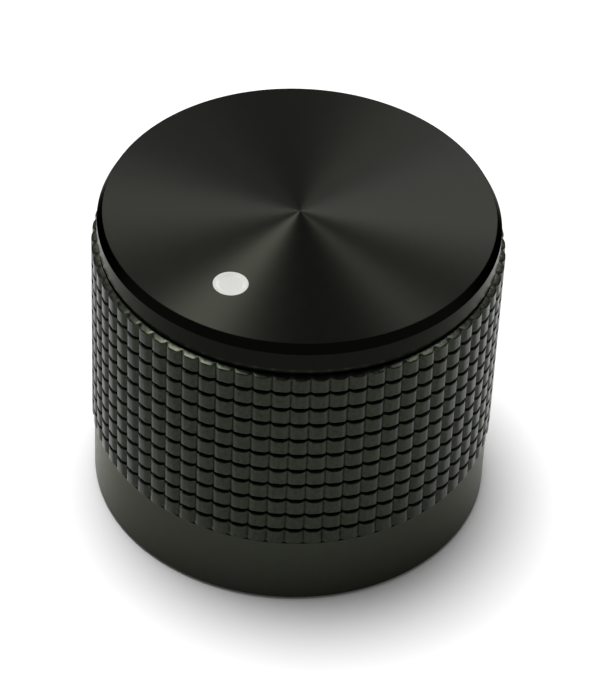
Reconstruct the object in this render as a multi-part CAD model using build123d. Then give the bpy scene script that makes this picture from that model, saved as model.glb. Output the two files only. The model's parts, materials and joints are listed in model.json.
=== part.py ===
from build123d import *
from math import cos, radians, sin, tan
import os

# A knurled control knob for a round shaft, turned from one bar of aluminium.
# Lengths are in millimetres and angles in degrees. The shaft's axis is Z, and
# the origin lies on it at the bottom rim. The white dot faces -Y and the set
# screw faces +Y.

# Outside of the body
grip_diameter = 19.05
knurl_rise = 0.255
skirt_diameter = 18.8
skirt_height = 3.7
neck_height = 0.3
neck_depth = 0.12
ring_height = 0.92
edge_height = 0.45
edge_width = 0.24
rim_break = 0.15

# Knurl: rows of teeth between turned grooves, parted by shallow upright flutes
row_count = 11
row_pitch = 0.944
groove_depth = 0.3
groove_angle = 40
flute_count = 68
flute_angle = 120
flute_floor = 0.12

# Shaft bore and the recess that clears the nut on the panel
shaft_diameter = 6.35
shaft_clearance = 0.025
mouth_chamfer = 0.4
drill_point_angle = 118
face_wall = 1.13
recess_diameter = 14.0
recess_depth = 2.4

# Set screw, in a threaded hole that opens into the bore
screw_diameter = 3.5
screw_length = 4.75
screw_end_chamfer = 0.3
screw_above_recess = 2.7
thread_clearance = 0.05
tip_gap = 0.15
key_size = 1.59
key_depth = 1.9
cup_diameter = 1.8
cup_angle = 118

# White dot: enamel in a shallow pocket, with a slightly hollow top
dot_diameter = 1.6
dot_inset = 3.03
pocket_depth = 0.3
enamel_hollow = 0.05

# Radii and heights that follow from the sizes above
grip_radius = grip_diameter / 2
plain_radius = grip_radius - knurl_rise
face_radius = plain_radius - edge_width
skirt_radius = skirt_diameter / 2
neck_radius = plain_radius - neck_depth
groove_radius = grip_radius - groove_depth
groove_reach = groove_depth * tan(radians(groove_angle / 2))
flute_floor_radius = plain_radius + flute_floor
knurl_bottom = skirt_height
knurl_top = knurl_bottom + row_count * row_pitch
ring_bottom = knurl_top + neck_height
ring_top = ring_bottom + ring_height
overall_height = ring_top + edge_height
bore_radius = shaft_diameter / 2 + shaft_clearance
recess_radius = recess_diameter / 2
drill_point_height = bore_radius / tan(radians(drill_point_angle / 2))
bore_end = overall_height - face_wall - drill_point_height
screw_radius = screw_diameter / 2
screw_height = recess_depth + screw_above_recess
screw_tip = bore_radius + tip_gap
dot_radius = dot_diameter / 2
dot_distance = face_radius - dot_inset


def flat_corners(flat_radius, height):
    """Corners of a polygon with one flat for each tooth, at flat_radius from the axis."""
    half_turn = radians(180 / flute_count)
    corner_radius = flat_radius / cos(half_turn)
    angles = [half_turn * (2 * tooth + 1) - radians(90) for tooth in range(flute_count)]
    return [Vector(corner_radius * cos(angle), corner_radius * sin(angle), height) for angle in angles]


def row_blank():
    """One row before fluting: a many-sided drum whose ends slope in to the groove floors."""
    rings = [
        flat_corners(groove_radius, 0),
        flat_corners(grip_radius, groove_reach),
        flat_corners(grip_radius, row_pitch - groove_reach),
        flat_corners(groove_radius, row_pitch),
    ]
    faces = [Face(Wire.make_polygon(rings[0])), Face(Wire.make_polygon(rings[-1]))]
    for lower, upper in zip(rings, rings[1:]):
        for tooth in range(flute_count):
            corners = [lower[tooth - 1], lower[tooth], upper[tooth], upper[tooth - 1]]
            faces.append(Face(Wire.make_polygon(corners)))
    return Solid(Shell(faces))


def fluted_outline():
    """Plan of the knurl: a V flute at each corner, so that each flat is left as a tooth's land."""
    mouth_radius = grip_radius + knurl_rise
    half_mouth = (mouth_radius - flute_floor_radius) * tan(radians(flute_angle / 2))
    flute = make_face(Polyline([
        (flute_floor_radius, 0),
        (mouth_radius, -half_mouth),
        (mouth_radius, half_mouth),
    ], close=True))
    step = 360 / flute_count
    flutes = [Rot(0, 0, step * (tooth + 0.5) - 90) * flute for tooth in range(flute_count)]
    plan = make_face(Polyline(flat_corners(grip_radius, 0), close=True))
    return plan - flutes


def knurled_band():
    """Rows of teeth, stacked so that the groove floors of two rows meet."""
    row = row_blank() & extrude(fluted_outline(), row_pitch)
    rows = [Pos(0, 0, knurl_bottom + row_pitch * level) * row for level in range(row_count)]
    return rows[0].fuse(*rows[1:])


def turned(points):
    """A solid of revolution about the shaft's axis from a half section in radius and height."""
    return revolve(Plane.XZ * make_face(Polyline(points, close=True)), Axis.Z)


def skirt():
    """The plain foot of the knob."""
    return turned([
        (0, 0),
        (skirt_radius - rim_break, 0),
        (skirt_radius, rim_break),
        (skirt_radius, knurl_bottom),
        (0, knurl_bottom),
    ])


def crown():
    """The neck over the knurl, the plain ring, the bevel and the flat face."""
    return turned([
        (0, knurl_top),
        (neck_radius, knurl_top),
        (neck_radius, ring_bottom),
        (plain_radius, ring_bottom),
        (plain_radius, ring_top),
        (face_radius, overall_height),
        (0, overall_height),
    ])


def hollow():
    """Recess, shaft bore and drill point, as the space that they take up."""
    return turned([
        (0, 0),
        (recess_radius + rim_break, 0),
        (recess_radius, rim_break),
        (recess_radius, recess_depth),
        (bore_radius + mouth_chamfer, recess_depth),
        (bore_radius, recess_depth + mouth_chamfer),
        (bore_radius, bore_end),
        (0, bore_end + drill_point_height),
    ])


def screw_hole():
    """The hole for the set screw, from inside the bore out through the wall."""
    radius = screw_radius + thread_clearance
    return along_screw(extrude(Circle(radius), grip_radius + knurl_rise))


def along_screw(shape):
    """Turns a shape that stands on the origin, so that it points out along the screw."""
    return Pos(0, 0, screw_height) * Rot(-90, 0, 0) * shape


def dot_pocket():
    """The flat-bottomed pocket under the enamel."""
    floor = overall_height - pocket_depth
    return Pos(0, -dot_distance, floor) * extrude(Circle(dot_radius), pocket_depth + enamel_hollow)


def knob_body():
    """The turned, knurled and drilled body, all one piece of metal."""
    body = knurled_band() + skirt() + crown()
    return body - hollow() - screw_hole() - dot_pocket()


def indicator_dot():
    """Enamel that fills its pocket, with a top hollowed by its surface tension."""
    side = pocket_depth
    middle = pocket_depth - enamel_hollow
    hollow = ThreePointArc((dot_radius, side), (0, middle), (-dot_radius, side))
    section = make_face([
        Line((0, 0), (dot_radius, 0)),
        Line((dot_radius, 0), (dot_radius, side)),
        hollow.trim(0, 0.5),
        Line((0, middle), (0, 0)),
    ])
    enamel = revolve(Plane.XZ * section, Axis.Z)
    return Pos(0, -dot_distance, overall_height - pocket_depth) * enamel


def set_screw():
    """A cup-point screw with a hexagon socket, its tip just clear of the shaft bore."""
    cup_radius = cup_diameter / 2
    cup_depth = cup_radius / tan(radians(cup_angle / 2))
    tip_length = screw_radius - cup_radius
    blank = turned([
        (0, cup_depth),
        (cup_radius, 0),
        (screw_radius, tip_length),
        (screw_radius, screw_length - screw_end_chamfer),
        (screw_radius - screw_end_chamfer, screw_length),
        (0, screw_length),
    ])
    corner_radius = key_size / 2 / cos(radians(30))
    socket = Pos(0, 0, screw_length - key_depth) * extrude(RegularPolygon(corner_radius, 6), key_depth)
    drilled_height = key_size / 2 / tan(radians(drill_point_angle / 2))
    drilled_end = Pos(0, 0, screw_length - key_depth - drilled_height / 2) * Rot(180, 0, 0) * Cone(
        key_size / 2, 0, drilled_height)
    return along_screw(Pos(0, 0, screw_tip) * (blank - socket - drilled_end))


def main():
    os.makedirs("parts", exist_ok=True)
    export_step(knob_body(), "parts/knob_body.step")
    export_step(indicator_dot(), "parts/indicator_dot.step")
    export_step(set_screw(), "parts/set_screw.step")


main()
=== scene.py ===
# %% [markdown]
# # A black anodised control knob
# The knob is turned from aluminium bar: a spun face, a bevel, a plain ring over a narrow neck,
# a cross-cut knurl and a plain skirt. A white enamel dot marks the face, and a set screw in the
# back holds the shaft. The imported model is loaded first, as the frame that every piece fits.

# %% Load the fixed frame
import json
import math

import bmesh
import bpy
from mathutils import Matrix, Vector

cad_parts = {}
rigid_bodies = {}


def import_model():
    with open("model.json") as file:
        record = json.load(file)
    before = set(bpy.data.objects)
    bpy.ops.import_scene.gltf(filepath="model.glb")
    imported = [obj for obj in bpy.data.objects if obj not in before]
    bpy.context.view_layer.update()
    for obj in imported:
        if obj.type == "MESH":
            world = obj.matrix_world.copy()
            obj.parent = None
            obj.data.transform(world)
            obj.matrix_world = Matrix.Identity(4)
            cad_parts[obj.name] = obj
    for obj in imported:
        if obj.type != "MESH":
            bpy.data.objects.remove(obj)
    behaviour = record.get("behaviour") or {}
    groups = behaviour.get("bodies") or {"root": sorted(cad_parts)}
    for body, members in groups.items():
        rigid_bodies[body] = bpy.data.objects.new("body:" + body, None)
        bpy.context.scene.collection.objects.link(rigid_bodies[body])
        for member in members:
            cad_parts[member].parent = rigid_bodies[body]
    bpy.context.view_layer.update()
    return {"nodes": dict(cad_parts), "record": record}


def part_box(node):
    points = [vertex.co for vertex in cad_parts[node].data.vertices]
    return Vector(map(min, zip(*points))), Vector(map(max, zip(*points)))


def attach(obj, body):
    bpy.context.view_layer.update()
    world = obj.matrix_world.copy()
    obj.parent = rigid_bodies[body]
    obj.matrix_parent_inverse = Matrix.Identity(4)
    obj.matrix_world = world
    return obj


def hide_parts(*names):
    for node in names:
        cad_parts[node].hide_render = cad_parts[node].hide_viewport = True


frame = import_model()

mm = 0.001
scene = bpy.context.scene
print("CAD nodes:", sorted(frame["nodes"]))

# %% [markdown]
# ## Sizes
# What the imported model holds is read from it, so that the two can't drift apart: the boxes of
# the three nodes give the knob's height, the dot's place and the screw's two ends, and the
# record gives the bore. The other sizes are those that the part was turned to.

# %% Sizes that several pieces share
body_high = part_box("knob_body")[1]
dot_low, dot_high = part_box("indicator_dot")
screw_low, screw_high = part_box("set_screw")
mounts = {mount["name"]: mount for mount in frame["record"]["mounts"]}
bore_radius = mounts["shaft_bore"]["dims"]["r_mm"] * mm

knurl_rise = 0.255 * mm
skirt_radius = 9.4 * mm
bevel_height = 0.45 * mm
bevel_width = 0.24 * mm
ring_height = 0.92 * mm
neck_height = 0.3 * mm
neck_depth = 0.12 * mm
row_height = 0.944 * mm
row_count = 11
flute_count = 68

grip_radius = body_high.x
plain_radius = grip_radius - knurl_rise
face_radius = plain_radius - bevel_width
neck_radius = plain_radius - neck_depth
face_height = body_high.z
ring_top = face_height - bevel_height
ring_bottom = ring_top - ring_height
knurl_top = ring_bottom - neck_height
knurl_bottom = knurl_top - row_count * row_height
print("knob", round(2 * grip_radius / mm, 2), "by", round(face_height / mm, 2), "mm, skirt",
      round(knurl_bottom / mm, 2), "mm high, bore", round(2 * bore_radius / mm, 2), "mm across")

# %% [markdown]
# ## The camera
# The picture was taken from above the front with a long lens. A camera looks along its own -Z
# axis, so its turn is built from three directions: right, up and back. Three small turns follow:
# a roll, because the picture leans a little, then a yaw and a pitch that bring the knob's axis
# to its own pixel. A real turn is used for that and no lens shift, so other views stay centred.

# %% Aim the camera
picture_width = 600
picture_height = 692
focal_length = 3490
axis_pixel = (294.0, 342.85)
view_azimuth = math.radians(29.3)
view_elevation = math.radians(42.18)
view_roll = math.radians(2.63)
view_distance = 164.6 * mm
aim_height = 7.62 * mm

back = Vector((
    math.sin(view_azimuth) * math.cos(view_elevation),
    -math.cos(view_azimuth) * math.cos(view_elevation),
    math.sin(view_elevation),
))
right = Vector((math.cos(view_azimuth), math.sin(view_azimuth), 0))
yaw = math.atan((axis_pixel[0] - picture_width / 2) / focal_length)
pitch = math.atan((axis_pixel[1] - picture_height / 2) / focal_length)
turn = Matrix((right, back.cross(right), back)).transposed()
turn = turn @ Matrix.Rotation(view_roll, 3, "Z")
turn = turn @ Matrix.Rotation(yaw, 3, "Y") @ Matrix.Rotation(pitch, 3, "X")

camera = bpy.data.objects.new("camera", bpy.data.cameras.new("camera"))
scene.collection.objects.link(camera)
stand = Matrix.Translation(Vector((0, 0, aim_height)) + back * view_distance)
camera.matrix_world = stand @ turn.to_4x4()
camera.data.sensor_width = 36
camera.data.lens = focal_length * camera.data.sensor_width / picture_height
camera.data.clip_start = 1 * mm
camera.data.clip_end = 10
scene.camera = camera
print("lens", round(camera.data.lens, 1), "mm")

# %% [markdown]
# ## Two helpers for node trees
# Materials and Geometry Nodes are both trees of nodes. One small function adds a node, sets its
# properties and fills its inputs, each with a plain value or with a link from another node. The
# second turns an sRGB colour, as a colour picker shows it, into the linear light values that
# shaders work in.

# %% Node and colour helpers
def add_node(tree, kind, inputs=None, **settings):
    """Adds a node. inputs maps its sockets to values, to other nodes or to their outputs."""
    node = tree.nodes.new(kind)
    for name, value in settings.items():
        setattr(node, name, value)
    for socket, source in (inputs or {}).items():
        if isinstance(source, bpy.types.Node):
            source = source.outputs[0]
        if isinstance(source, bpy.types.NodeSocket):
            tree.links.new(source, node.inputs[socket])
        else:
            node.inputs[socket].default_value = source
    return node


def linear(hex_colour):
    """sRGB hex to linear RGBA."""
    steps = [int(hex_colour[i:i + 2], 16) / 255 for i in (1, 3, 5)]
    light = [s / 12.92 if s <= 0.04045 else ((s + 0.055) / 1.055) ** 2.4 for s in steps]
    return (*light, 1.0)


print("mid grey in linear light:", round(linear("#808080")[0], 3))

# %% [markdown]
# ## The finishes
# Black anodising grows a hard, clear oxide on the aluminium and fills its pores with black dye.
# It stays a metal's surface to the eye: nearly no colour of its own, a dim mirror face on, and a
# bright one at a glancing angle. So each finish is a metallic shader with a dark base colour,
# and what tells them apart is how the metal was cut before it was dyed, and on the ring and the
# bevel a darker base colour as well, which is painted shade. The real grain of a dyed oxide is a
# few thousandths of a millimetre, too fine to show in a picture of this size, so it is drawn at
# some tenths of a millimetre, and kept faint.

# %% Shader parts that the finishes share
def new_material(name):
    """An empty material with a Principled shader. Returns its tree and the shader."""
    material = bpy.data.materials.new(name)
    material.use_nodes = True
    tree = material.node_tree
    tree.nodes.clear()
    shader = add_node(tree, "ShaderNodeBsdfPrincipled")
    add_node(tree, "ShaderNodeOutputMaterial", {"Surface": shader})
    return material, tree, shader


def metal_look(tree, shader, dark, light, roughness, spread, grain, glancing="#ffffff"):
    """Colour and roughness that wander a little with a fine grain, as a dyed oxide does."""
    place = add_node(tree, "ShaderNodeTexCoord").outputs["Object"]
    noise = add_node(tree, "ShaderNodeTexNoise", {
        "Vector": place, "Scale": 1 / grain, "Detail": 3.0})
    ramp = add_node(tree, "ShaderNodeMix", {
        "Factor": noise, 6: linear(dark), 7: linear(light)}, data_type="RGBA")
    gloss = add_node(tree, "ShaderNodeMapRange", {
        "Value": noise, "To Min": roughness - spread, "To Max": roughness + spread})
    tree.links.new(ramp.outputs[2], shader.inputs["Base Color"])
    tree.links.new(gloss.outputs[0], shader.inputs["Roughness"])
    shader.inputs["Metallic"].default_value = 1.0
    shader.inputs["Specular Tint"].default_value = linear(glancing)
    return place


print("each finish is a metal with its own dark colour, gloss and tool marks")

# %% [markdown]
# ### The spun face
# The facing tool leaves fine rings round the centre. Light that falls across such rings spreads
# out from the centre and stays narrow along them, which draws the bright rays of the face. The
# shader's anisotropy does the same with far less noise than thousands of modelled grooves. Its
# Tangent input takes the direction across the marks, which here is straight out from the centre.
# The long flank of each mark leans outwards, so the shading normal leans with it: that is why
# the near rays are the brighter ones.

# %% Spun face finish
feed_lean = 0.30


def make_spun_face():
    material, tree, shader = new_material("spun_black_anodised_aluminium")
    place = metal_look(
        tree, shader, "#21221e", "#252621", roughness=0.44, spread=0.02, grain=0.6 * mm)
    shader.inputs["Anisotropic"].default_value = 0.88
    flat = add_node(tree, "ShaderNodeVectorMath", {0: place, 1: (1, 1, 0)}, operation="MULTIPLY")
    outward = add_node(tree, "ShaderNodeVectorMath", {0: flat}, operation="NORMALIZE")
    tree.links.new(outward.outputs[0], shader.inputs["Tangent"])
    lean = add_node(tree, "ShaderNodeVectorMath", {0: outward, 3: feed_lean}, operation="SCALE")
    surface = add_node(tree, "ShaderNodeNewGeometry").outputs["Normal"]
    leaning = add_node(tree, "ShaderNodeVectorMath", {0: surface, 1: lean}, operation="ADD")
    normal = add_node(tree, "ShaderNodeVectorMath", {0: leaning}, operation="NORMALIZE")
    tree.links.new(normal.outputs[0], shader.inputs["Normal"])
    return material


spun_face = make_spun_face()
print("spun face: its marks lean", round(math.degrees(math.atan(feed_lean)), 1), "degrees outwards")

# %% [markdown]
# ### The turned walls and the knurl
# The ring, the bevel, the neck and the skirt were turned as well. Their tool marks run round the
# knob too, so on these walls the direction across them is straight up. The ring has the finest cut
# and the clearest sheen, and the bevel, the skirt and the neck a softer one. The ring and the bevel
# are also given a much darker colour than the skirt, and the bevel a weak glancing reflection: that
# is painted shade, which keeps the ring dark face on and the bevel black from every side. The
# knurl's teeth were cut and then etched, and show no direction.

# %% Turned and knurled finishes
def make_turned(name, dark, light, roughness, glancing):
    material, tree, shader = new_material(name)
    metal_look(tree, shader, dark, light, roughness, spread=0.03, grain=0.4 * mm, glancing=glancing)
    shader.inputs["Anisotropic"].default_value = 0.5
    upward = add_node(tree, "ShaderNodeCombineXYZ", {"Z": 1.0})
    tree.links.new(upward.outputs[0], shader.inputs["Tangent"])
    return material


def make_knurled():
    material, tree, shader = new_material("knurled_black_anodised_aluminium")
    metal_look(tree, shader, "#161712", "#33362e", roughness=0.30, spread=0.06, grain=0.16 * mm)
    return material


# The ring's and the bevel's darker base colours, and the bevel's weak glancing tint, are painted
# shade.
ring_with_painted_shade = make_turned(
    "turned_black_anodised_aluminium", "#11120f", "#131411", roughness=0.22, glancing="#d8d8d4")
bevel_with_painted_shade = make_turned(
    "bevel_black_anodised_painted_shade", "#131410", "#151613", roughness=0.30, glancing="#80807c")
turned_skirt = make_turned(
    "fine_turned_black_anodised_aluminium", "#2d2e28", "#31332c", roughness=0.30,
    glancing="#e2e2dc")
knurled = make_knurled()
finishes = [knurled, ring_with_painted_shade, bevel_with_painted_shade, turned_skirt, spun_face]
KNURL, RING, BEVEL, SKIRT, FACE = range(5)
print("finishes:", [m.name for m in finishes])

# %% [markdown]
# ## The knurl, one tooth at a time
# On the real knob a tool turns rings of V grooves into the band, and V flutes are then cut
# across them, which leaves rows of small teeth. A displacement texture would need a very dense
# mesh and round off every edge, but a knurl is one shape many times over, so Geometry Nodes make
# one tooth and set it round the knob and up it. The tooth is a grid of seven by seven faces from
# root to root. Each V has four stations on each side: its root, the top of its flank, the middle
# of its rounded edge and the start of the land. The rounding is a true arc, tangent to both.

# %% Tree for the stations across one V
tooth_steps = 7


def make_v_tree():
    """Steps 0 to 7 across a tooth, from root to root, give a place and the depth cut away there."""
    tree = bpy.data.node_groups.new("stations of a V", "GeometryNodeTree")
    for name in ("Step", "Pitch", "Depth", "Flank Angle", "Edge"):
        tree.interface.new_socket(name, in_out="INPUT", socket_type="NodeSocketFloat")
    for name in ("Place", "Cut"):
        tree.interface.new_socket(name, in_out="OUTPUT", socket_type="NodeSocketFloat")
    sizes = add_node(tree, "NodeGroupInput").outputs
    bend = sizes["Flank Angle"]
    half_bend = add_node(tree, "ShaderNodeMath", {0: bend, 1: 0.5}, operation="MULTIPLY")
    flank_cosine = add_node(tree, "ShaderNodeMath", {0: bend}, operation="COSINE")
    flank_sine = add_node(tree, "ShaderNodeMath", {0: bend}, operation="SINE")
    flank_slope = add_node(tree, "ShaderNodeMath", {0: bend}, operation="TANGENT")
    half_cosine = add_node(tree, "ShaderNodeMath", {0: half_bend}, operation="COSINE")
    half_sine = add_node(tree, "ShaderNodeMath", {0: half_bend}, operation="SINE")
    half_slope = add_node(tree, "ShaderNodeMath", {0: half_bend}, operation="TANGENT")
    mouth = add_node(tree, "ShaderNodeMath", {
        0: sizes["Depth"], 1: flank_slope}, operation="DIVIDE")
    run = add_node(tree, "ShaderNodeMath", {
        0: sizes["Edge"], 1: flank_cosine}, operation="MULTIPLY")
    flank_top = add_node(tree, "ShaderNodeMath", {0: mouth, 1: run}, operation="SUBTRACT")
    flank_cut = add_node(tree, "ShaderNodeMath", {
        0: sizes["Edge"], 1: flank_sine}, operation="MULTIPLY")
    arc_radius = add_node(tree, "ShaderNodeMath", {
        0: sizes["Edge"], 1: half_slope}, operation="DIVIDE")
    to_corner = add_node(tree, "ShaderNodeMath", {
        0: arc_radius, 1: half_cosine}, operation="DIVIDE")
    shaved = add_node(tree, "ShaderNodeMath", {0: to_corner, 1: arc_radius}, operation="SUBTRACT")
    middle = add_node(tree, "ShaderNodeMath", {
        0: shaved, 1: half_sine, 2: mouth}, operation="MULTIPLY_ADD")
    middle_cut = add_node(tree, "ShaderNodeMath", {0: shaved, 1: half_cosine}, operation="MULTIPLY")
    land = add_node(tree, "ShaderNodeMath", {0: mouth, 1: sizes["Edge"]}, operation="ADD")
    far_step = add_node(tree, "ShaderNodeMath", {
        0: float(tooth_steps), 1: sizes["Step"]}, operation="SUBTRACT")
    near_step = add_node(tree, "ShaderNodeMath", {
        0: sizes["Step"], 1: far_step}, operation="MINIMUM")
    station = add_node(tree, "FunctionNodeFloatToInt", {0: near_step}, rounding_mode="ROUND")
    chosen = []
    for values in ((0.0, flank_top, middle, land), (sizes["Depth"], flank_cut, middle_cut, 0.0)):
        switch = add_node(tree, "GeometryNodeIndexSwitch", data_type="FLOAT")
        while len(switch.index_switch_items) < len(values):
            switch.index_switch_items.new()
        tree.links.new(station.outputs[0], switch.inputs["Index"])
        for number, value in enumerate(values):
            if isinstance(value, float):
                switch.inputs[str(number)].default_value = value
            else:
                tree.links.new(getattr(value, "outputs", [value])[0], switch.inputs[str(number)])
        chosen.append(switch)
    distance, cut = chosen
    mirrored = add_node(tree, "ShaderNodeMath", {
        0: sizes["Pitch"], 1: distance}, operation="SUBTRACT")
    past = add_node(tree, "FunctionNodeCompare", {
        0: sizes["Step"], 1: tooth_steps / 2}, operation="GREATER_THAN")
    place = add_node(tree, "GeometryNodeSwitch", {
        "Switch": past, "False": distance, "True": mirrored}, input_type="FLOAT")
    add_node(tree, "NodeGroupOutput", {"Place": place, "Cut": cut})
    return tree


v_tree = make_v_tree()
print("V tree:", len(v_tree.nodes), "nodes")

# %% [markdown]
# The main tree bends a flat grid into the tooth. The deeper of the two cuts wins at every point,
# as a second tool can only take off more metal. Then come two rounds of instances, teeth into a
# ring and rings into the band, and Realize Instances makes them real faces. A tooth ends exactly
# where the next one starts, so Merge by Distance closes the band into one skin. The corners of
# the teeth are hips, which run down the longer diagonal of their faces, so the faces are split
# along that one.

# %% Tree that makes the knurled band
touching = 0.001 * mm


def make_knurl_tree():
    tree = bpy.data.node_groups.new("knurled band", "GeometryNodeTree")
    for name in ("Grip Radius", "Lowest Row", "Row Height",
                 "Groove Depth", "Groove Flank Angle", "Groove Edge",
                 "Flute Depth", "Flute Flank Angle", "Flute Edge"):
        tree.interface.new_socket(name, in_out="INPUT", socket_type="NodeSocketFloat")
    for name in ("Rows", "Flutes"):
        tree.interface.new_socket(name, in_out="INPUT", socket_type="NodeSocketInt")
    tree.interface.new_socket("Finish", in_out="INPUT", socket_type="NodeSocketMaterial")
    tree.interface.new_socket("Band", in_out="OUTPUT", socket_type="NodeSocketGeometry")
    sizes = add_node(tree, "NodeGroupInput").outputs

    grid = add_node(tree, "GeometryNodeMeshGrid", {
        "Size X": float(tooth_steps), "Size Y": float(tooth_steps),
        "Vertices X": tooth_steps + 1, "Vertices Y": tooth_steps + 1})
    position = add_node(tree, "GeometryNodeInputPosition")
    place = add_node(tree, "ShaderNodeSeparateXYZ", {0: position})
    step_round = add_node(tree, "ShaderNodeMath", {
        0: place.outputs["X"], 1: tooth_steps / 2}, operation="ADD")
    step_up = add_node(tree, "ShaderNodeMath", {
        0: place.outputs["Y"], 1: tooth_steps / 2}, operation="ADD")
    girth = add_node(tree, "ShaderNodeMath", {
        0: sizes["Grip Radius"], 1: math.tau}, operation="MULTIPLY")
    flute_pitch = add_node(tree, "ShaderNodeMath", {
        0: girth, 1: sizes["Flutes"]}, operation="DIVIDE")
    flute = add_node(tree, "GeometryNodeGroup", node_tree=v_tree)
    groove = add_node(tree, "GeometryNodeGroup", node_tree=v_tree)
    for node, name, step, pitch_size in (
            (flute, "Flute", step_round.outputs[0], flute_pitch.outputs[0]),
            (groove, "Groove", step_up.outputs[0], sizes["Row Height"])):
        tree.links.new(step, node.inputs["Step"])
        tree.links.new(pitch_size, node.inputs["Pitch"])
        tree.links.new(sizes[name + " Depth"], node.inputs["Depth"])
        tree.links.new(sizes[name + " Flank Angle"], node.inputs["Flank Angle"])
        tree.links.new(sizes[name + " Edge"], node.inputs["Edge"])

    deeper = add_node(tree, "ShaderNodeMath", {
        0: flute.outputs["Cut"], 1: groove.outputs["Cut"]}, operation="MAXIMUM")
    radius = add_node(tree, "ShaderNodeMath", {
        0: sizes["Grip Radius"], 1: deeper}, operation="SUBTRACT")
    angle = add_node(tree, "ShaderNodeMath", {
        0: flute.outputs["Place"], 1: sizes["Grip Radius"]}, operation="DIVIDE")
    cosine = add_node(tree, "ShaderNodeMath", {0: angle}, operation="COSINE")
    sine = add_node(tree, "ShaderNodeMath", {0: angle}, operation="SINE")
    x = add_node(tree, "ShaderNodeMath", {0: radius, 1: cosine}, operation="MULTIPLY")
    y = add_node(tree, "ShaderNodeMath", {0: radius, 1: sine}, operation="MULTIPLY")
    bent = add_node(tree, "ShaderNodeCombineXYZ", {
        "X": x, "Y": y, "Z": groove.outputs["Place"]})
    tooth = add_node(tree, "GeometryNodeSetPosition", {"Geometry": grid, "Position": bent})

    index = add_node(tree, "GeometryNodeInputIndex")
    part_turn = add_node(tree, "ShaderNodeMath", {
        0: math.tau, 1: sizes["Flutes"]}, operation="DIVIDE")
    from_root = add_node(tree, "ShaderNodeMath", {0: index, 1: 0.5}, operation="SUBTRACT")
    heading = add_node(tree, "ShaderNodeMath", {
        0: from_root, 1: part_turn, 2: -math.pi / 2}, operation="MULTIPLY_ADD")
    spin = add_node(tree, "ShaderNodeCombineXYZ", {"Z": heading})
    ring_points = add_node(tree, "GeometryNodeMeshLine", {
        "Count": sizes["Flutes"], "Offset": (0, 0, 0)})
    ring = add_node(tree, "GeometryNodeInstanceOnPoints", {
        "Points": ring_points, "Instance": tooth, "Rotation": spin})
    one_row = add_node(tree, "GeometryNodeRealizeInstances", {0: ring})
    start = add_node(tree, "ShaderNodeCombineXYZ", {"Z": sizes["Lowest Row"]})
    rise = add_node(tree, "ShaderNodeCombineXYZ", {"Z": sizes["Row Height"]})
    row_points = add_node(tree, "GeometryNodeMeshLine", {
        "Count": sizes["Rows"], "Start Location": start, "Offset": rise})
    rows = add_node(tree, "GeometryNodeInstanceOnPoints", {
        "Points": row_points, "Instance": one_row})
    band = add_node(tree, "GeometryNodeRealizeInstances", {0: rows})
    merged = add_node(tree, "GeometryNodeMergeByDistance", {"Geometry": band, "Distance": touching})
    split = add_node(tree, "GeometryNodeTriangulate", {
        "Mesh": merged}, quad_method="LONGEST_DIAGONAL")
    finished = add_node(tree, "GeometryNodeSetMaterial", {
        "Geometry": split, "Material": sizes["Finish"]})
    add_node(tree, "NodeGroupOutput", {0: finished})
    return tree


knurl_tree = make_knurl_tree()
print("knurl tree:", len(knurl_tree.nodes), "nodes")

# %% [markdown]
# A tree runs as a modifier. Its inputs are set by each socket's identifier before the object is
# looked at for the first time, and then the evaluated result is copied out as a plain mesh.

# %% Run the tree
def run_tree(tree, sizes):
    """Runs a node tree once and returns what it makes as a plain mesh."""
    host = bpy.data.objects.new("host", bpy.data.meshes.new("host"))
    scene.collection.objects.link(host)
    modifier = host.modifiers.new("tree", "NODES")
    modifier.node_group = tree
    sockets = {
        item.name: item.identifier for item in tree.interface.items_tree if item.in_out == "INPUT"}
    for name, value in sizes.items():
        modifier[sockets[name]] = value
    evaluated = host.evaluated_get(bpy.context.evaluated_depsgraph_get())
    mesh = bpy.data.meshes.new_from_object(evaluated)
    bpy.data.objects.remove(host)
    return mesh


groove_depth = 0.30 * mm
groove_flank = math.radians(70)
groove_edge = 0.045 * mm
flute_depth = 0.15 * mm
flute_flank = math.radians(35)
flute_edge = 0.12 * mm

band_mesh = run_tree(knurl_tree, {
    "Grip Radius": grip_radius, "Lowest Row": knurl_bottom, "Row Height": row_height,
    "Groove Depth": groove_depth, "Groove Flank Angle": groove_flank, "Groove Edge": groove_edge,
    "Flute Depth": flute_depth, "Flute Flank Angle": flute_flank, "Flute Edge": flute_edge,
    "Rows": row_count, "Flutes": flute_count, "Finish": knurled,
})
print("band:", len(band_mesh.vertices), "vertices,", len(band_mesh.polygons), "faces")

# %% [markdown]
# ## The turned outside and inside
# The rest of the body is round, so it only needs its outline: radius and height, point by point,
# as a lathe hand would read it off a drawing. The outline is drawn on from the band's own two
# open rims, ring of edges by ring of edges, so the new skin shares the band's vertices and the
# body closes without a seam. Corners get a small arc, because a razor edge catches no light.

# %% Outline helpers
def with_arcs(outline, steps=3):
    """Replaces each corner that has a rounding by an arc.

    The points that come in are (radius, height, rounding, finish), and those that go out are
    (radius, height, finish).
    """
    points = []
    for number, (radius, height, rounding, finish) in enumerate(outline):
        corner = Vector((radius, height))
        if rounding == 0:
            points.append((corner.x, corner.y, finish))
            continue
        before = (Vector(outline[number - 1][:2]) - corner).normalized()
        after = (Vector(outline[number + 1][:2]) - corner).normalized()
        half = before.angle(after) / 2
        centre = corner + (before + after).normalized() * rounding / math.sin(half)
        first = corner + before * rounding / math.tan(half)
        swing = math.pi - 2 * half
        side = 1 if before.x * after.y - before.y * after.x < 0 else -1
        for step in range(steps + 1):
            spoke = first - centre
            spoke.rotate(Matrix.Rotation(side * swing * step / steps, 2))
            points.append((centre.x + spoke.x, centre.y + spoke.y, finish))
    return points


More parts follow.
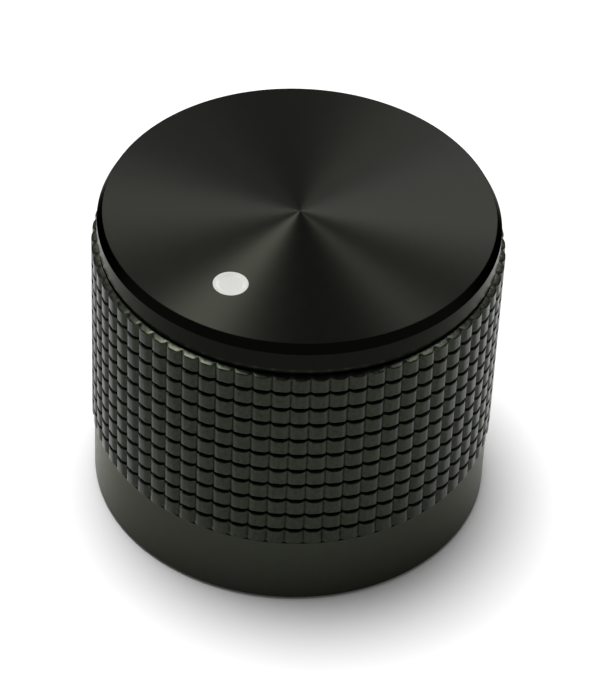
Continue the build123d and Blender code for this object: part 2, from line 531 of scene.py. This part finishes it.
def draw_on(bm, rim, outline):
    """Extends an open rim round the Z axis through an outline's points, closed at radius 0."""
    for radius, height, finish in outline:
        grown = bmesh.ops.extrude_edge_only(bm, edges=rim)["geom"]
        ring = {item for item in grown if isinstance(item, bmesh.types.BMVert)}
        edges = [item for item in grown if isinstance(item, bmesh.types.BMEdge)]
        rim = [edge for edge in edges if set(edge.verts) <= ring]
        for face in (item for item in grown if isinstance(item, bmesh.types.BMFace)):
            face.material_index = finish
        for vertex in ring:
            heading = math.atan2(vertex.co.y, vertex.co.x)
            vertex.co = (radius * math.cos(heading), radius * math.sin(heading), height)
        if radius == 0:
            bmesh.ops.remove_doubles(bm, verts=list(ring), dist=touching)
    return rim


one_corner = [(0, 0, 0, 0), (1, 0, 0.1, 0), (1, 1, 0, 0)]
print("a rounded corner has", len(with_arcs(one_corner)) - 2, "points")

# %% [markdown]
# The upper outline runs from the top groove over the ring and the bevel to the middle of the
# face. The lower one runs down the skirt, under the rim, up the recess that clears the panel's
# nut, and up the bore to the cone that the drill left.

# %% The two outlines
groove_floor = grip_radius - groove_depth
recess_radius = 7.0 * mm
recess_roof = 2.4 * mm
rim_break = 0.15 * mm
mouth_chamfer = 0.4 * mm
face_wall = 1.13 * mm
drill_depth = 1.923 * mm
bore_end = face_height - face_wall - drill_depth
inner_round = 0.1 * mm
edge_round = 0.04 * mm
small_round = 0.03 * mm

upper_outline = with_arcs([
    (groove_floor, knurl_top, 0, SKIRT),
    (neck_radius, knurl_top, 0, SKIRT),
    (neck_radius, ring_bottom, small_round, SKIRT),
    (plain_radius, ring_bottom, small_round, RING),
    (plain_radius, ring_top, edge_round, RING),
    (face_radius, face_height, edge_round, BEVEL),
    (0.5 * face_radius, face_height, 0, FACE),
    (0, face_height, 0, FACE),
])[1:]
lower_outline = with_arcs([
    (groove_floor, knurl_bottom, 0, SKIRT),
    (skirt_radius, knurl_bottom, small_round, SKIRT),
    (skirt_radius, rim_break, edge_round, SKIRT),
    (skirt_radius - rim_break, 0, small_round, SKIRT),
    (recess_radius + rim_break, 0, small_round, SKIRT),
    (recess_radius, rim_break, small_round, SKIRT),
    (recess_radius, recess_roof, inner_round, SKIRT),
    (bore_radius + mouth_chamfer, recess_roof, small_round, SKIRT),
    (bore_radius, recess_roof + mouth_chamfer, small_round, SKIRT),
    (bore_radius, bore_end, small_round, SKIRT),
    (0, bore_end + drill_depth, 0, SKIRT),
])[1:]
print("outline points:", len(upper_outline), "above the knurl and", len(lower_outline), "below it")

# %% [markdown]
# The band has two open rims, one at each end. Each outline starts on its own rim, and at the
# axis the last ring shrinks to a point. The faces keep the number of their finish from the
# outline, so one mesh carries them all.

# %% Draw the body on from the band
def close_body(mesh):
    """Adds the turned skin above and below the band and returns the closed body as an object."""
    bm = bmesh.new()
    bm.from_mesh(mesh)
    for face in bm.faces:
        face.material_index = KNURL
    rims = [edge for edge in bm.edges if edge.is_boundary]
    middle = (knurl_bottom + knurl_top) / 2
    draw_on(bm, [edge for edge in rims if edge.verts[0].co.z > middle], upper_outline)
    draw_on(bm, [edge for edge in rims if edge.verts[0].co.z < middle], lower_outline)
    bmesh.ops.recalc_face_normals(bm, faces=bm.faces)
    open_edges = sum(not edge.is_manifold for edge in bm.edges)
    print("body:", len(bm.faces), "faces,", open_edges, "open edges, volume",
          round(bm.calc_volume() / mm ** 3), "cubic mm")
    mesh.materials.clear()
    for finish in finishes:
        mesh.materials.append(finish)
    bm.to_mesh(mesh)
    bm.free()
    body = bpy.data.objects.new("knob_body_metal", mesh)
    scene.collection.objects.link(body)
    return body


body = close_body(band_mesh)

# %% [markdown]
# ## Cutting holes
# Two holes go across the lathe work: the threaded one for the set screw and the pocket under
# the dot. Each is made as a closed cutter and taken away with a Boolean modifier. The modifier
# is then turned into a plain mesh, so nothing live stays on the piece.

# %% Helpers for closed pieces and Booleans
def make_piece(name, bm, materials):
    """Turns a closed bmesh into an object with its faces pointing outwards."""
    bmesh.ops.recalc_face_normals(bm, faces=bm.faces)
    mesh = bpy.data.meshes.new(name)
    for material in materials:
        mesh.materials.append(material)
    bm.to_mesh(mesh)
    bm.free()
    piece = bpy.data.objects.new(name, mesh)
    scene.collection.objects.link(piece)
    return piece


def turned_piece(name, outline, segments, materials, place=Matrix()):
    """A closed turned piece. Its outline starts at the rim of a flat disc and ends at radius 0."""
    radius, height, finish = outline[0]
    bm = bmesh.new()
    bmesh.ops.create_circle(bm, cap_ends=True, cap_tris=True, segments=segments, radius=radius,
                            matrix=Matrix.Translation((0, 0, height)))
    for face in bm.faces:
        face.material_index = finish
    draw_on(bm, [edge for edge in bm.edges if edge.is_boundary], outline[1:])
    bmesh.ops.transform(bm, matrix=place, verts=bm.verts)
    return make_piece(name, bm, materials)


def apply_modifiers(piece):
    """Replaces a piece's mesh by what its modifiers make of it."""
    evaluated = piece.evaluated_get(bpy.context.evaluated_depsgraph_get())
    mesh = bpy.data.meshes.new_from_object(evaluated)
    piece.modifiers.clear()
    piece.data = mesh


def cut(piece, tool, operation="DIFFERENCE"):
    """Combines a piece with a closed tool, which is used up."""
    modifier = piece.modifiers.new("cut", "BOOLEAN")
    modifier.object = tool
    modifier.operation = operation
    modifier.solver = "MANIFOLD"
    apply_modifiers(piece)
    bpy.data.objects.remove(tool)


round_sides = 64
print("small round pieces have", round_sides, "sides")

# %% [markdown]
# ### The thread
# A thread is one ridge wound round a cylinder. The Screw modifier makes it: a short zigzag, one
# pitch high, turns about the axis and climbs one pitch each turn, so that its turns join. The
# same ridge, a little larger, is the tap that cuts the hole, so the two threads mesh.

# %% A threaded rod
thread_pitch = 25.4 * mm / 32
thread_half_angle = math.radians(30)
thread_clearance = 0.05 * mm
tap_root = 1.42 * mm
screw_root = 1.34 * mm
screw_radius = (screw_high.x - screw_low.x) / 2
screw_height = (screw_low.z + screw_high.z) / 2
along_screw = Matrix.Translation((0, 0, screw_height)) @ Matrix.Rotation(math.radians(-90), 4, "X")
thread_reach = 1.1 * grip_radius
rod_point = 1.3 * grip_radius


def threaded_rod(name, crest, root, materials, finish):
    """A closed rod with a V thread, from the knob's axis out past its wall."""
    crest_flat = thread_pitch / 8
    flank = (crest - root) * math.tan(thread_half_angle)
    profile = [
        (root, 0), (root, thread_pitch - crest_flat - 2 * flank),
        (crest, thread_pitch - crest_flat - flank), (crest, thread_pitch - flank),
        (root, thread_pitch)]
    mesh = bpy.data.meshes.new(name)
    mesh.from_pydata([(radius, 0, height) for radius, height in profile],
                     [(step, step + 1) for step in range(len(profile) - 1)], [])
    ridge = bpy.data.objects.new(name, mesh)
    scene.collection.objects.link(ridge)
    modifier = ridge.modifiers.new("thread", "SCREW")
    modifier.screw_offset = thread_pitch
    modifier.iterations = math.ceil(thread_reach / thread_pitch)
    modifier.steps = 40
    modifier.render_steps = 40
    modifier.use_merge_vertices = True
    modifier.merge_threshold = touching
    apply_modifiers(ridge)
    bm = bmesh.new()
    bm.from_mesh(ridge.data)
    bpy.data.objects.remove(ridge)
    bmesh.ops.remove_doubles(bm, verts=bm.verts, dist=touching)
    ends = [edge for edge in bm.edges if edge.is_boundary]
    middle = grip_radius / 2
    inner_end = [edge for edge in ends if edge.verts[0].co.z < middle]
    outer_end = [edge for edge in ends if edge.verts[0].co.z > middle]
    draw_on(bm, inner_end, [(0, -thread_pitch, finish)])
    draw_on(bm, outer_end, [(0, rod_point, finish)])
    for face in bm.faces:
        face.material_index = finish
    bmesh.ops.transform(bm, matrix=along_screw, verts=bm.verts)
    return make_piece(name, bm, materials)


print("thread pitch", round(thread_pitch / mm, 3), "mm")

# %% [markdown]
# ### The screw hole and the dot's pocket
# The tap goes in from the back, under the face's far edge, and opens into the bore. The pocket
# is a flat-bottomed hole, and its mouth gets a chamfer of a fiftieth of a millimetre. It takes the
# bevel's darkened colour, so the fine dark line round the dot is painted shade.

# %% Cut the screw hole and the pocket
dot_radius = (dot_high.x - dot_low.x) / 2
dot_centre = (dot_low.y + dot_high.y) / 2
dot_floor = dot_low.z
at_dot = Matrix.Translation((0, dot_centre, 0))

pocket_chamfer = 0.02 * mm
above_face = face_height + 0.1 * mm

tap = threaded_rod("tap", screw_radius + thread_clearance, tap_root, finishes, SKIRT)
cut(body, tap)
# The chamfer's faces take the bevel's darkened colour: painted shade that draws the dark line round
# the dot.
pocket_tool = turned_piece("pocket_tool", [
    (dot_radius, dot_floor, SKIRT),
    (dot_radius, face_height - pocket_chamfer, SKIRT),
    (dot_radius + pocket_chamfer, face_height, BEVEL),
    (dot_radius + 2 * pocket_chamfer, above_face, BEVEL),
    (0, above_face, BEVEL)], round_sides, finishes, at_dot)
cut(body, pocket_tool)
print("body after cutting:", len(body.data.polygons), "faces")

# %% [markdown]
# ## Shading the edges
# Flat faces should look flat and arcs round. Edges sharper than 35 degrees are marked sharp, the
# rest are smoothed, and the Weighted Normal modifier lets the large faces decide the direction,
# so that the small arcs carry the whole turn and catch a thin line of light. The modifier weighs
# faces by their area, and these are so small in metres that it works on the piece in mm.

# %% Edge shading helpers
def shade(piece, sharp_angle=35):
    """Smooths the arcs and keeps the edges, by the size and the angle of the faces."""
    piece.data.shade_smooth()
    piece.data.set_sharp_from_angle(angle=math.radians(sharp_angle))
    modifier = piece.modifiers.new("weighted normal", "WEIGHTED_NORMAL")
    modifier.keep_sharp = True
    piece.data.transform(Matrix.Scale(1 / mm, 4))
    apply_modifiers(piece)
    piece.data.transform(Matrix.Scale(mm, 4))


def true_round(piece, turned_finishes):
    """Takes the sideways part out of the normals of turned faces, as they stand round the axis."""
    mesh = piece.data
    normals = [corner.vector.copy() for corner in mesh.corner_normals]
    for face in mesh.polygons:
        if face.material_index not in turned_finishes:
            continue
        for loop in face.loop_indices:
            place = mesh.vertices[mesh.loops[loop].vertex_index].co
            outward = Vector((place.x, place.y, 0)).normalized()
            normal = normals[loop]
            level = Vector((0, 0, normal.z)) + outward * normal.dot(outward)
            faces_up_or_down = abs(face.normal.z) > 0.9999
            if faces_up_or_down:
                level = Vector((0, 0, face.normal.z))
            if level.length > 0.5:
                normals[loop] = level.normalized()
    mesh.normals_split_custom_set(normals)


shade(body)
true_round(body, {RING, BEVEL, SKIRT, FACE})
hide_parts("knob_body")
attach(body, "root")

# %% [markdown]
# ## The white dot
# Enamel is run into the pocket as a liquid and baked. It wets the wall, so its top is hollow with
# a thin lip round the edge, which is the brighter ring that the eye sees. The enamel itself is a
# warm off-white with a satin surface. Its pigment is far too fine to show, so it is drawn as a
# faint cloud of a few tenths of a millimetre.

# %% Enamel and dot
pigment_grain = 0.3 * mm


def make_enamel():
    material, tree, shader = new_material("baked_white_enamel")
    place = add_node(tree, "ShaderNodeTexCoord").outputs["Object"]
    noise = add_node(tree, "ShaderNodeTexNoise", {
        "Vector": place, "Scale": 1 / pigment_grain, "Detail": 2.0})
    ramp = add_node(tree, "ShaderNodeMix", {
        "Factor": noise, 6: linear("#c1c2bd"), 7: linear("#cbcbc6")}, data_type="RGBA")
    tree.links.new(ramp.outputs[2], shader.inputs["Base Color"])
    shader.inputs["Roughness"].default_value = 0.35
    return material


enamel = make_enamel()
hollow_depth = 0.05 * mm
lip_width = 0.16 * mm
dot = turned_piece("dot_enamel", [
    (dot_radius, dot_floor, 0),
    (dot_radius, face_height - 0.01 * mm, 0),
    (dot_radius - 0.02 * mm, face_height - 0.002 * mm, 0),
    (dot_radius - lip_width, face_height - 0.008 * mm, 0),
    (dot_radius - 1.3 * lip_width, face_height - 0.7 * hollow_depth, 0),
    (dot_radius - 1.8 * lip_width, face_height - hollow_depth, 0),
    (0, face_height - hollow_depth, 0)], round_sides, [enamel], at_dot)
print("dot", round(2 * dot_radius / mm, 2), "mm across,", round(hollow_depth / mm, 2), "mm hollow")
shade(dot)
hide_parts("indicator_dot")
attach(dot, "root")

# %% [markdown]
# ## The set screw
# A cup-point screw with a hexagon socket: its tip bites into the shaft, and its end lies below
# the knurl. Black oxide is a thin film on the steel, so the screw is a warmer and duller grey
# than the dyed aluminium round it. The threaded rod is trimmed to a chamfered blank, and then the
# cup and the socket are cut into its two ends.

# %% Black oxide finish and screw
def make_black_oxide():
    material, tree, shader = new_material("machined_black_oxide_steel")
    metal_look(tree, shader, "#2e2d2c", "#3a3937", roughness=0.42, spread=0.06, grain=0.2 * mm)
    return material


black_oxide = make_black_oxide()
screw_tip = screw_low.y
screw_end = screw_high.y
cup_radius = 0.9 * mm
cup_half_angle = math.radians(59)
cup_depth = cup_radius / math.tan(cup_half_angle)
cup_sides = 48
key_size = 1.59 * mm
key_radius = key_size / 2 / math.cos(math.radians(30))
key_depth = 1.9 * mm
end_chamfer = 0.3 * mm

screw = threaded_rod("set_screw_steel", screw_radius, screw_root, [black_oxide], 0)
blank = turned_piece("screw_blank", [
    (cup_radius, screw_tip, 0),
    (screw_radius, screw_tip + screw_radius - cup_radius, 0),
    (screw_radius, screw_end - end_chamfer, 0),
    (screw_radius - end_chamfer, screw_end, 0),
    (0, screw_end, 0)], round_sides, [black_oxide], along_screw)
cut(screw, blank, "INTERSECT")
cup = turned_piece("cup", [
    (cup_radius * 1.5, screw_tip - cup_depth * 0.5, 0),
    (0, screw_tip + cup_depth, 0)], cup_sides, [black_oxide], along_screw)
cut(screw, cup)
socket = turned_piece("socket", [
    (key_radius, screw_end - key_depth, 0),
    (key_radius, screw_end + mm, 0),
    (0, screw_end + mm, 0)], 6, [black_oxide], along_screw)
cut(screw, socket)
shade(screw)
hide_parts("set_screw")
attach(screw, "root")

# %% [markdown]
# ## A look at the meshes
# A closed mesh has two faces at every edge. An edge with one face is a gap, and one with three
# is a stray face, so neither may be left on a finished piece.

# %% Count triangles and open edges
for piece in (body, dot, screw):
    bm = bmesh.new()
    bm.from_mesh(piece.data)
    print(piece.name, "triangles", sum(len(f.verts) - 2 for f in bm.faces),
          "open edges", sum(not edge.is_manifold for edge in bm.edges))
    bm.free()

# %% [markdown]
# ## The floor
# The knob stands on a plain white card, three metres wide, so that its edges stay out of every
# view. Card is matt, so its shader has no specular part. Its pulp is drawn coarser than it is,
# as a very faint change of grey over a few millimetres.

# %% Floor
pulp_grain = 4 * mm
half_floor = 1.5


def make_floor():
    material, tree, shader = new_material("white_card")
    place = add_node(tree, "ShaderNodeTexCoord").outputs["Object"]
    noise = add_node(tree, "ShaderNodeTexNoise", {
        "Vector": place, "Scale": 1 / pulp_grain, "Detail": 2.0})
    ramp = add_node(tree, "ShaderNodeMix", {
        "Factor": noise, 6: linear("#e7e7e7"), 7: linear("#e9e9e9")}, data_type="RGBA")
    tree.links.new(ramp.outputs[2], shader.inputs["Base Color"])
    shader.inputs["Roughness"].default_value = 0.9
    shader.inputs["Specular IOR Level"].default_value = 0.0
    bm = bmesh.new()
    bmesh.ops.create_grid(bm, x_segments=1, y_segments=1, size=half_floor)
    floor = make_piece("floor", bm, [material])
    return floor


floor = make_floor()
print("floor", 2 * half_floor, "m wide")

# %% [markdown]
# ## Lights and world
# Lights are placed in the camera's own directions, right, away and up, because that is how a
# photographer sets them. One wide light shines on the card alone and throws the soft shadow. Five
# small ones shine on the knob alone: each draws a pair of rays on the spun face, and the two at
# the back also draw the bright sides of the grip. Light linking keeps them apart, so the shadow
# and the rays can be set one at a time. Each light's width is an angle, as the knob sees it, and
# its power follows from the light that should arrive.

# %% Lights and world
def add_light(name, direction, spread, irradiance, lit, distance=700 * mm):
    """A round soft light on the lit pieces, from a direction given as right, away and up."""
    heading = Matrix.Rotation(view_azimuth, 3, "Z") @ Vector(direction).normalized()
    data = bpy.data.lights.new(name, "AREA")
    data.shape = "DISK"
    data.size = 2 * distance * math.tan(math.radians(spread))
    data.energy = irradiance * math.pi * distance ** 2
    light = bpy.data.objects.new(name, data)
    scene.collection.objects.link(light)
    light.location = heading * distance + Vector((0, 0, face_height))
    light.rotation_euler = heading.to_track_quat("Z", "Y").to_euler()
    light.light_linking.receiver_collection = lit
    return light


def lit_group(name, pieces):
    group = bpy.data.collections.new(name)
    for piece in pieces:
        group.objects.link(piece)
    return group


knob_group = lit_group("knob_pieces", (body, dot, screw))
floor_group = lit_group("floor_only", (floor,))
for name, direction, spread, irradiance, lit in (
        ("floor_light", (-0.085, 0.15, 0.985), 14, 4.4, floor_group),
        ("key", (-0.32, 0.20, 0.926), 7, 1.9, knob_group),
        ("fill", (0.365, 0.30, 0.881), 4, 0.57, knob_group),
        ("back_left", (-0.3, 0.735, 0.608), 9, 0.55, knob_group),
        ("back_right", (0.3, 0.735, 0.608), 7, 0.60, knob_group),
        ("back_low", (0.26, 0.885, 0.386), 6, 0.20, knob_group)):
    light = add_light(name, direction, spread, irradiance, lit)
    print(name, "is", round(light.data.size / mm), "mm wide, of", round(light.data.energy, 2), "W")

world_grey = 0.24
world = bpy.data.worlds.new("studio")
world.use_nodes = True
background = world.node_tree.nodes["Background"]
background.inputs["Color"].default_value = (world_grey, world_grey, world_grey, 1)
scene.world = world
scene.view_settings.view_transform = "Standard"
